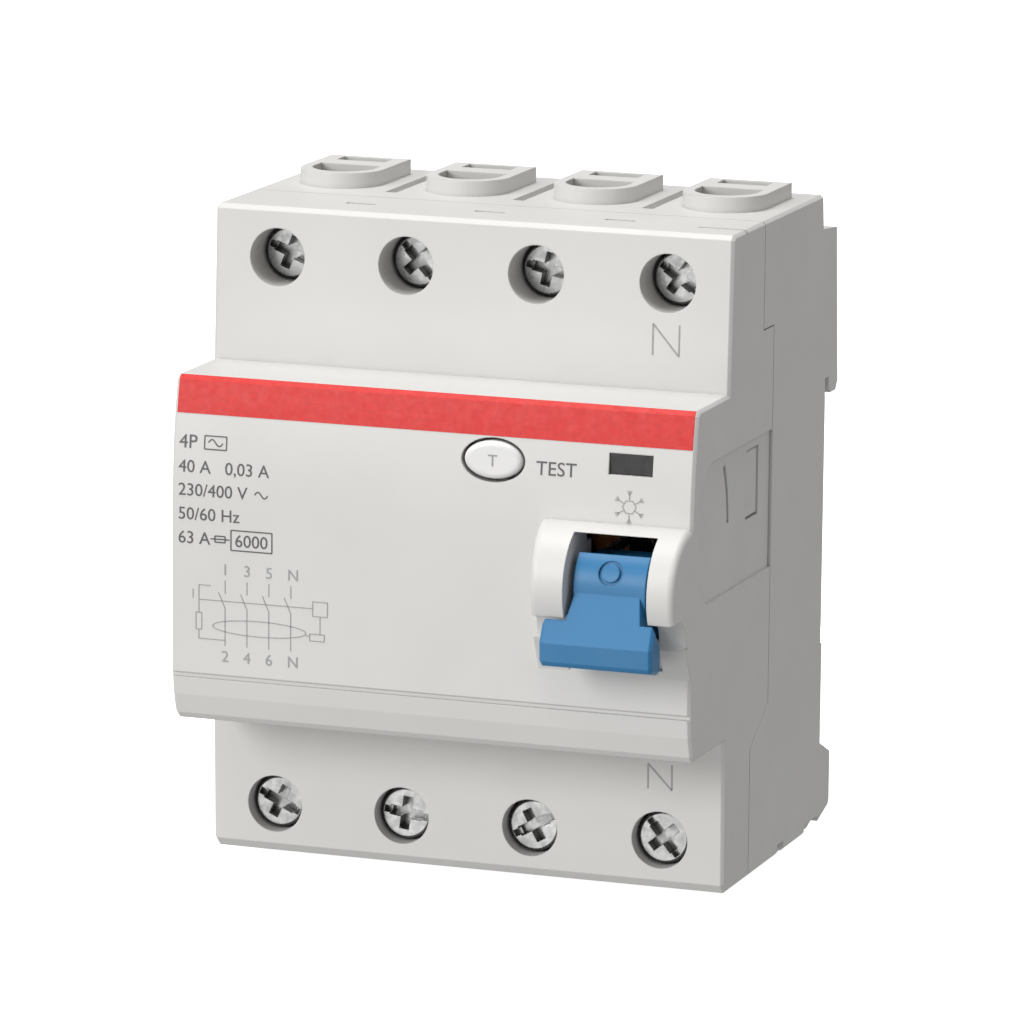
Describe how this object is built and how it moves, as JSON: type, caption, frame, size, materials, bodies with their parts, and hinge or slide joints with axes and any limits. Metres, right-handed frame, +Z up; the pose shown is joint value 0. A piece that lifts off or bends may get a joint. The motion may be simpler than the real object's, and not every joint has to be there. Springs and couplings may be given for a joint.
{
  "type": "residual current device",
  "caption": "Four-pole residual current circuit breaker for a 35 mm rail, light grey, with a blue lever and a test button.",
  "frame": {"origin": "centre of the rail seat on the rear wall, on the rail's centre line", "axes": "+Z up, +X to the right seen from the front, the front faces -Y, +Y into the rail"},
  "size_m": [0.07, 0.069, 0.089],
  "materials": {
    "housing": "fine moulded satin",
    "lever": "moulded satin blue",
    "button": "polished light grey",
    "clip": "moulded grey",
    "window": "clear dark polycarbonate",
    "flag": "green and red print",
    "zinc": "zinc plated",
    "cage": "yellow passivated",
    "steel": "bright drawn",
    "copper": "tinned and bare copper",
    "winding": "enamelled wire",
    "core": "wound strip core",
    "dark_moulding": "glass filled moulding",
    "board": "solder mask",
    "resistor": "coated",
    "red_print": "pad printed red",
    "grey_print": "pad printed grey"
  },
  "bodies": {
    "housing": {"base_housing": "housing", "carrier_spring": "steel", "coupling_plug_left": "housing", "coupling_plug_right": "housing", "fixed_contact_1": "copper", "fixed_contact_2": "copper", "fixed_contact_3": "copper", "fixed_contact_4": "copper", "front_cover": "housing", "indicator_lens": "window", "latch_pin": "steel", "lever_pin": "steel", "load_conductor_1": "copper", "load_conductor_2": "copper", "load_conductor_3": "copper", "load_conductor_4": "copper", "relay_case": "dark_moulding", "relay_coil": "winding", "relay_yoke": "steel", "secondary_winding": "winding", "test_board": "board", "test_resistor": "resistor", "test_stud": "copper", "transformer_core": "core"},
    "lever": {"operating_lever": "lever"},
    "link": {"lever_link": "steel"},
    "carrier": {"contact_carrier": "dark_moulding", "moving_contact_1": "copper", "moving_contact_2": "copper", "moving_contact_3": "copper", "moving_contact_4": "copper"},
    "flag": {"indicator_flag": "flag"},
    "button": {"test_button": "button"},
    "blade": {"test_blade": "copper"},
    "plunger": {"relay_plunger": "steel"},
    "latch": {"trip_latch": "dark_moulding"},
    "clip_left": {"rail_clip_left": "clip"},
    "clip_right": {"rail_clip_right": "clip"},
    "line_screw_1": {"line_screw_1": "zinc"},
    "line_cage_1": {"line_cage_1": "cage"},
    "line_screw_2": {"line_screw_2": "zinc"},
    "line_cage_2": {"line_cage_2": "cage"},
    "line_screw_3": {"line_screw_3": "zinc"},
    "line_cage_3": {"line_cage_3": "cage"},
    "line_screw_4": {"line_screw_4": "zinc"},
    "line_cage_4": {"line_cage_4": "cage"},
    "load_screw_1": {"load_screw_1": "zinc"},
    "load_cage_1": {"load_cage_1": "cage"},
    "load_screw_2": {"load_screw_2": "zinc"},
    "load_cage_2": {"load_cage_2": "cage"},
    "load_screw_3": {"load_screw_3": "zinc"},
    "load_cage_3": {"load_cage_3": "cage"},
    "load_screw_4": {"load_screw_4": "zinc"},
    "load_cage_4": {"load_cage_4": "cage"}
  },
  "joints": [
    {"name": "lever_turn", "type": "hinge", "parent": "housing", "child": "lever", "pos_m": [0.026, -0.0545, 0], "axis": [-1, 0, 0], "range_deg": [0, 82]},
    {"name": "link_turn", "type": "hinge", "parent": "lever", "child": "link", "pos_m": [0.0184, -0.0515, 0], "axis": [-1, 0, 0], "range_deg": [-92, 0]},
    {"name": "carrier_turn", "type": "hinge", "parent": "housing", "child": "carrier", "pos_m": [0, -0.031, 0.008], "axis": [-1, 0, 0], "range_deg": [0, 24]},
    {"name": "flag_turn", "type": "hinge", "parent": "housing", "child": "flag", "pos_m": [0.0319, -0.0425, 0.01525], "axis": [-1, 0, 0], "range_deg": [0, 24]},
    {"name": "button_press", "type": "slide", "parent": "housing", "child": "button", "axis": [0, 1, 0], "range_m": [0, 0.0016], "stiffness_N_per_m": 400, "springref_m": -0.0005},
    {"name": "blade_bend", "type": "hinge", "parent": "housing", "child": "blade", "pos_m": [-0.0066, -0.04829, 0.0146], "axis": [0, 0, 1], "range_deg": [0, 6]},
    {"name": "plunger_stroke", "type": "slide", "parent": "housing", "child": "plunger", "axis": [1, 0, 0], "range_m": [0, 0.0015], "stiffness_N_per_m": 300, "springref_m": -0.0003},
    {"name": "latch_turn", "type": "hinge", "parent": "housing", "child": "latch", "pos_m": [0.0111, -0.044, -0.002], "axis": [0, 1, 0], "range_deg": [-12, 0]},
    {"name": "clip_left_slide", "type": "slide", "parent": "housing", "child": "clip_left", "axis": [0, 0, -1], "range_m": [0, 0.003], "stiffness_N_per_m": 1500, "springref_m": -0.0005},
    {"name": "clip_right_slide", "type": "slide", "parent": "housing", "child": "clip_right", "axis": [0, 0, -1], "range_m": [0, 0.003], "stiffness_N_per_m": 1500, "springref_m": -0.0005},
    {"name": "line_screw_1_turn", "type": "hinge", "parent": "housing", "child": "line_screw_1", "pos_m": [-0.0264, -0.03, 0.036], "axis": [0, 1, 0], "range_deg": [0, 1800]},
    {"name": "line_cage_1_lift", "type": "slide", "parent": "housing", "child": "line_cage_1", "axis": [0, -1, 0], "range_m": [0, 0.0039]},
    {"name": "line_screw_2_turn", "type": "hinge", "parent": "housing", "child": "line_screw_2", "pos_m": [-0.0088, -0.03, 0.036], "axis": [0, 1, 0], "range_deg": [0, 1800]},
    {"name": "line_cage_2_lift", "type": "slide", "parent": "housing", "child": "line_cage_2", "axis": [0, -1, 0], "range_m": [0, 0.0039]},
    {"name": "line_screw_3_turn", "type": "hinge", "parent": "housing", "child": "line_screw_3", "pos_m": [0.0088, -0.03, 0.036], "axis": [0, 1, 0], "range_deg": [0, 1800]},
    {"name": "line_cage_3_lift", "type": "slide", "parent": "housing", "child": "line_cage_3", "axis": [0, -1, 0], "range_m": [0, 0.0039]},
    {"name": "line_screw_4_turn", "type": "hinge", "parent": "housing", "child": "line_screw_4", "pos_m": [0.0264, -0.03, 0.036], "axis": [0, 1, 0], "range_deg": [0, 1800]},
    {"name": "line_cage_4_lift", "type": "slide", "parent": "housing", "child": "line_cage_4", "axis": [0, -1, 0], "range_m": [0, 0.0039]},
    {"name": "load_screw_1_turn", "type": "hinge", "parent": "housing", "child": "load_screw_1", "pos_m": [-0.0264, -0.03, -0.036], "axis": [0, 1, 0], "range_deg": [0, 1800]},
    {"name": "load_cage_1_lift", "type": "slide", "parent": "housing", "child": "load_cage_1", "axis": [0, -1, 0], "range_m": [0, 0.0039]},
    {"name": "load_screw_2_turn", "type": "hinge", "parent": "housing", "child": "load_screw_2", "pos_m": [-0.0088, -0.03, -0.036], "axis": [0, 1, 0], "range_deg": [0, 1800]},
    {"name": "load_cage_2_lift", "type": "slide", "parent": "housing", "child": "load_cage_2", "axis": [0, -1, 0], "range_m": [0, 0.0039]},
    {"name": "load_screw_3_turn", "type": "hinge", "parent": "housing", "child": "load_screw_3", "pos_m": [0.0088, -0.03, -0.036], "axis": [0, 1, 0], "range_deg": [0, 1800]},
    {"name": "load_cage_3_lift", "type": "slide", "parent": "housing", "child": "load_cage_3", "axis": [0, -1, 0], "range_m": [0, 0.0039]},
    {"name": "load_screw_4_turn", "type": "hinge", "parent": "housing", "child": "load_screw_4", "pos_m": [0.0264, -0.03, -0.036], "axis": [0, 1, 0], "range_deg": [0, 1800]},
    {"name": "load_cage_4_lift", "type": "slide", "parent": "housing", "child": "load_cage_4", "axis": [0, -1, 0], "range_m": [0, 0.0039]}
  ],
  "couplings": [
    {"joint": "link_turn", "follows": "lever_turn", "ratio": -1.122},
    {"joint": "carrier_turn", "follows": "lever_turn", "ratio": 0.29268},
    {"joint": "flag_turn", "follows": "lever_turn", "ratio": 0.29268},
    {"joint": "blade_bend", "follows": "button_press", "rad_per_m": 62},
    {"joint": "latch_turn", "follows": "plunger_stroke", "rad_per_m": -130},
    {"joint": "line_screw_1_turn", "follows": "line_cage_1_lift", "rad_per_m": 8055.4},
    {"joint": "line_screw_2_turn", "follows": "line_cage_2_lift", "rad_per_m": 8055.4},
    {"joint": "line_screw_3_turn", "follows": "line_cage_3_lift", "rad_per_m": 8055.4},
    {"joint": "line_screw_4_turn", "follows": "line_cage_4_lift", "rad_per_m": 8055.4},
    {"joint": "load_screw_1_turn", "follows": "load_cage_1_lift", "rad_per_m": 8055.4},
    {"joint": "load_screw_2_turn", "follows": "load_cage_2_lift", "rad_per_m": 8055.4},
    {"joint": "load_screw_3_turn", "follows": "load_cage_3_lift", "rad_per_m": 8055.4},
    {"joint": "load_screw_4_turn", "follows": "load_cage_4_lift", "rad_per_m": 8055.4}
  ]
}
